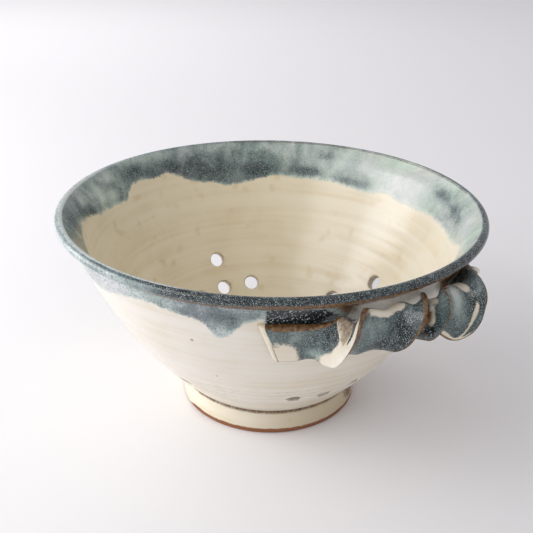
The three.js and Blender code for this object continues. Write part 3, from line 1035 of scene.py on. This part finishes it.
    def lay(self, grid: Array) -> tuple[Array, dict[str, Array]]:
        """Lay a flat grid along the strap, rolled into its section.

        Args:
            grid: Rows of x along and y around the strap, each from -1 to 1.

        Returns:
            The places in metres, and each one's degrees along, share across and side.
        """
        turn = math.pi * (grid[:, 1] + 1.0)
        across, through = (np.copysign(np.sqrt(abs(wave)), wave) for wave in (np.cos(turn), np.sin(turn)))
        along = self.start + (self.end - self.start) * (grid[:, 0] + 1.0) / 2.0
        along = along + self.slant * across * ease(along, self.start + 9.0, self.start)
        lead, trail = (
            np.column_stack([glide(rows[:, 0], rows[:, column], along) for column in (1, 2)])
            for rows in (np.array(self.lead_edge), np.array(self.trail_edge)))
        middle, half = (lead + trail) / 2.0, (lead - trail) / 2.0
        face = np.column_stack([-half[:, 1], half[:, 0]])
        face /= np.linalg.norm(face, axis=1)[:, None]
        inset = np.minimum(grid[:, 0] + 1.0, 1.0 - grid[:, 0]) * (self.end - self.start) / 2.0 / self.end_round
        full = np.sqrt(1.0 - (1.0 - np.clip(inset, 0.0, 1.0)) ** 2)
        hollow = self.groove * ease(along, self.start + 5, self.start + 12) * ease(along, self.end - 5, self.end - 12)
        lift = (through * full - (1.0 - full)) * self.thickness / 2.0 - hollow * (0.5 - across ** 2)
        lift = lift - np.sign(through) * sum(dent.near(along, across, through) for dent in self.dents)
        section = middle + half * (across * (0.94 + 0.06 * full))[:, None] + face * lift[:, None]
        angle = np.radians(along + self.turn)
        spots = np.column_stack([section[:, 0] * np.cos(angle), section[:, 0] * np.sin(angle), section[:, 1]])
        return spots * MM, {"along": along, "across": across, "face": through}

    def mesh(self) -> bpy.types.Mesh:
        """Roll a grid into the strap's tube, lay it along the two edges and close its ends.

        Returns:
            The closed mesh.
        """
        tube = bmesh.new()
        bmesh.ops.create_grid(tube, x_segments=self.along_steps, y_segments=self.around_steps, size=1.0)
        spots, tracks = self.lay(np.array([vert.co for vert in tube.verts]))
        layers = {name: tube.verts.layers.float.new(name) for name in tracks}
        for index, vert in enumerate(tube.verts):
            vert.co = spots[index]
            for name, layer in layers.items():
                vert[layer] = tracks[name][index]
        bmesh.ops.remove_doubles(tube, verts=tube.verts, dist=1e-6)
        bmesh.ops.holes_fill(tube, edges=[edge for edge in tube.edges if edge.is_boundary], sides=0)
        bmesh.ops.recalc_face_normals(tube, faces=tube.faces)
        self.tracks = {name: np.array([vert[layer] for vert in tube.verts]) for name, layer in layers.items()}
        mesh = meshed(tube, self.name)
        for name in layers:
            mesh.attributes.remove(mesh.attributes[name])
        return mesh

    def paint(self, spots: Array) -> dict[Coat, Array]:
        """Paint the blue, the brown edges, the cream at the cut ends and each dab, among them a painted highlight on
        the trumpet and painted shade at the bottom of its groove.

        Args:
            spots: The vertices' places, in millimetres.

        Returns:
            The painted layers.
        """
        along, across, face = (self.tracks[name] for name in ("along", "across", "face"))
        top = ease(across, -0.76, -0.92) * ease(along, -11.0, -15.0) * ease(along, -32.0, -30.8)
        inset = along - self.start - self.slant * across
        cut = np.maximum(ease(inset, 2.2, 1.5), ease(along, 31.0, 31.5))
        tan = ease(along, -17.3, -16.7) * ease(along, -13.0, -14.0) * ease(across, 0.5, 0.36) * (face > 0)
        seam = 0.7 * np.exp(-((inset - 1.95) / 0.28) ** 2) * ease(across, -0.7, 0.0)
        edges = 0.95 * ease(abs(across), 0.9, 0.985) * (1 - cut)
        rust = np.maximum.reduce([edges, 0.9 * top, 0.75 * ease(inset, 0.5, 0.2), 0.62 * tan, seam])
        even = np.ones(len(spots))
        coats = {
            Coat.DIP: 12.0 * even, Coat.THIN: 0.38 * even, Coat.RUST: rust, Coat.POOL_AND_SHADE: 0.0 * even,
            Coat.CREAM_AND_HIGHLIGHT: np.maximum(1.3 * cut, 1.2 * tan), Coat.INSIDE: 0.85 * even}
        for layer, dabs in self.dabs:
            for dab in dabs:
                coats[layer] = coats[layer] + dab.near(along, across, face)
        return coats


@dataclass(frozen=True)
class Panel:
    """A square soft light: places from the camera's side and width in metres, power in watts."""

    name: str
    place: tuple[float, float, float]
    target: tuple[float, float, float]
    size: float
    power: float

    def hang(self) -> bpy.types.Object:
        """Hang the light, facing its target.

        Returns:
            The light.
        """
        light = bpy.data.lights.new(self.name, "AREA")
        light.size, light.energy = self.size, self.power
        place, target = from_view(*self.place), from_view(*self.target)
        lamp = shown(self.name, light)
        lamp.location = place
        lamp.rotation_euler = (target - place).to_track_quat("-Z", "Y").to_euler()
        return lamp


@dataclass
class Studio:
    """The pale floor, the soft light and the camera, placed as seen from the camera's side."""

    floor_size: float = 14.0
    lens: float = 52.683
    camera_away: float = -0.397107
    camera_up: float = 0.268602
    aim: tuple[float, float, float] = (-0.00505562, 0.90084073, -0.43412027)
    roll: float = math.radians(0.941)
    sensor: float = 36.0
    sky: float = 0.62
    panels: tuple[Panel, ...] = (
        Panel("window_low", (-0.9, 0.1, 0.35), (0.0, 0.0, 0.05), 0.6, 5.1),
        Panel("window_high", (-0.68, -0.52, 0.66), (0.0, 0.0, 0.05), 0.6, 2.9),
        Panel("fill", (-0.75, -0.6, 0.12), (0.0, 0.0, 0.03), 0.4, 0.45),
        Panel("backdrop", (-0.8, 1.2, 1.0), (-0.5, 1.8, 0.0), 1.0, 7.5))

    def floor(self) -> bpy.types.Object:
        """Lay the pale floor.

        Returns:
            The floor.
        """
        slab = bmesh.new()
        bmesh.ops.create_grid(slab, x_segments=1, y_segments=1, size=self.floor_size / 2)
        mesh = meshed(slab, "floor")
        material = bpy.data.materials.new("pale_floor")
        material.use_nodes = True
        shader = material.node_tree.nodes["Principled BSDF"]
        shader.inputs["Base Color"].default_value = linear("f2f1f2")
        shader.inputs["Roughness"].default_value = 0.8
        shader.inputs["Specular IOR Level"].default_value = 0.2
        mesh.materials.append(material)
        floor = shown("floor", mesh)
        return floor

    def light(self) -> None:
        """Light the studio from the left, with an even pale surround."""
        world = bpy.data.worlds.new("surround")
        world.use_nodes = True
        world.node_tree.nodes["Background"].inputs["Color"].default_value = linear("f9f7fb")
        world.node_tree.nodes["Background"].inputs["Strength"].default_value = self.sky
        bpy.context.scene.world = world
        for panel in self.panels:
            panel.hang()

    def camera(self) -> bpy.types.Object:
        """Set the camera at the photograph's view.

        Returns:
            The camera.
        """
        data = bpy.data.cameras.new("camera")
        data.lens, data.sensor_width = self.lens, self.sensor
        camera = shown("camera", data)
        heading = from_view(*self.aim).to_track_quat("-Z", "Y").to_matrix().to_4x4()
        place = Matrix.Translation(from_view(0.0, self.camera_away, self.camera_up))
        camera.matrix_world = place @ heading @ Matrix.Rotation(self.roll, 4, "Z")
        bpy.context.scene.camera = camera
        return camera


def main() -> None:
    """Build the colander piece by piece, then its studio."""
    logging.basicConfig(level=logging.INFO, format="%(name)s %(message)s")
    bpy.context.scene.view_settings.view_transform = "Standard"
    Bowl().dress(Glaze("bowl_glaze", freckles=((-53, 98.2, 83.5, 1.3), (-49.5, 83.1, 55.9, 0.8))).build())
    RimBead().dress(Glaze("rim_glaze").build())
    # The foot's yellower cream is a darker shaded copy of its cream, painted on as shade towards its right side.
    FootRing().dress(Glaze("foot_glaze", cream_out="efe8d7", cream_in_and_shade="d0c4a9").build())
    handle_glaze = Glaze("handle_glaze", cream_in_and_shade="e8dfcd", gloss=0.18).build()
    StrapHandle().dress(handle_glaze)
    StrapHandle(name="handle_strap_rear", node="handle_rear", turn=180.0).dress(handle_glaze)
    studio = Studio()
    studio.floor()
    studio.light()
    studio.camera()


if __name__ == "__main__":
    main()
